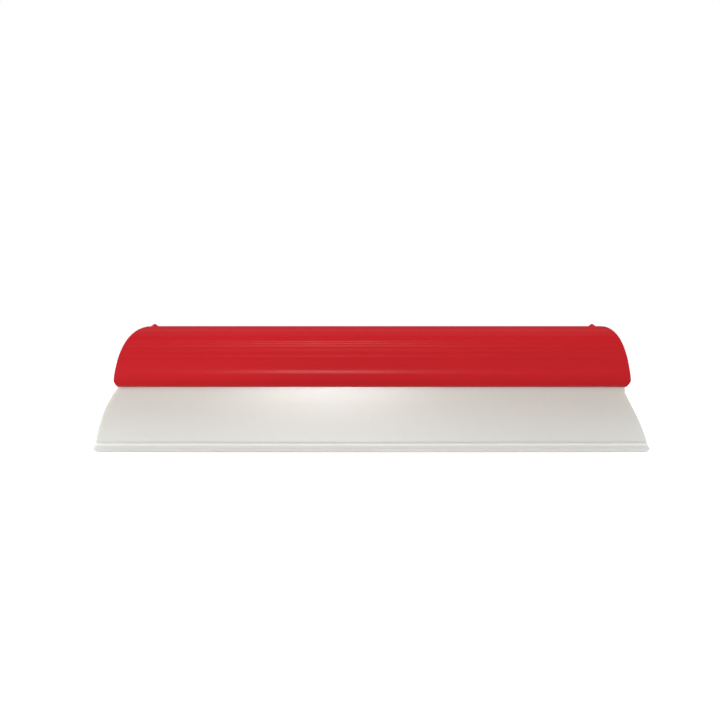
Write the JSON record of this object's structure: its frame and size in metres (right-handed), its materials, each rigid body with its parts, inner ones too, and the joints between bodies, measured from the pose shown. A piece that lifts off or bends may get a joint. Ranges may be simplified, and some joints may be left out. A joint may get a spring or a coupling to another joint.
{
  "type": "squeegee",
  "caption": "Hand-held window squeegee: hollow ribbed red grip bar holding a frosted flexible silicone blade with a T-shaped wiping edge.",
  "frame": {"origin": "middle of the wiping edge, on the surface it stands on", "axes": "+X along the blade, +Y through its thickness, +Z from the wiping edge up to the grip's crest; the pictured side faces -Y"},
  "size_m": [0.305, 0.0244, 0.07],
  "materials": {
    "red_pvc": "satin, finely streaked along its length",
    "frosted_silicone": "frosted, translucent, smooth"
  },
  "bodies": {
    "handle": {"handle": "red_pvc"},
    "blade": {"blade": "frosted_silicone"}
  },
  "joints": [
    {"name": "blade_flex", "type": "hinge", "parent": "handle", "child": "blade", "pos_m": [0, 0, 0.0284], "axis": [1, 0, 0], "range_deg": [-30, 30], "stiffness_Nm_per_rad": 0.12, "deforming": ["blade"]}
  ]
}
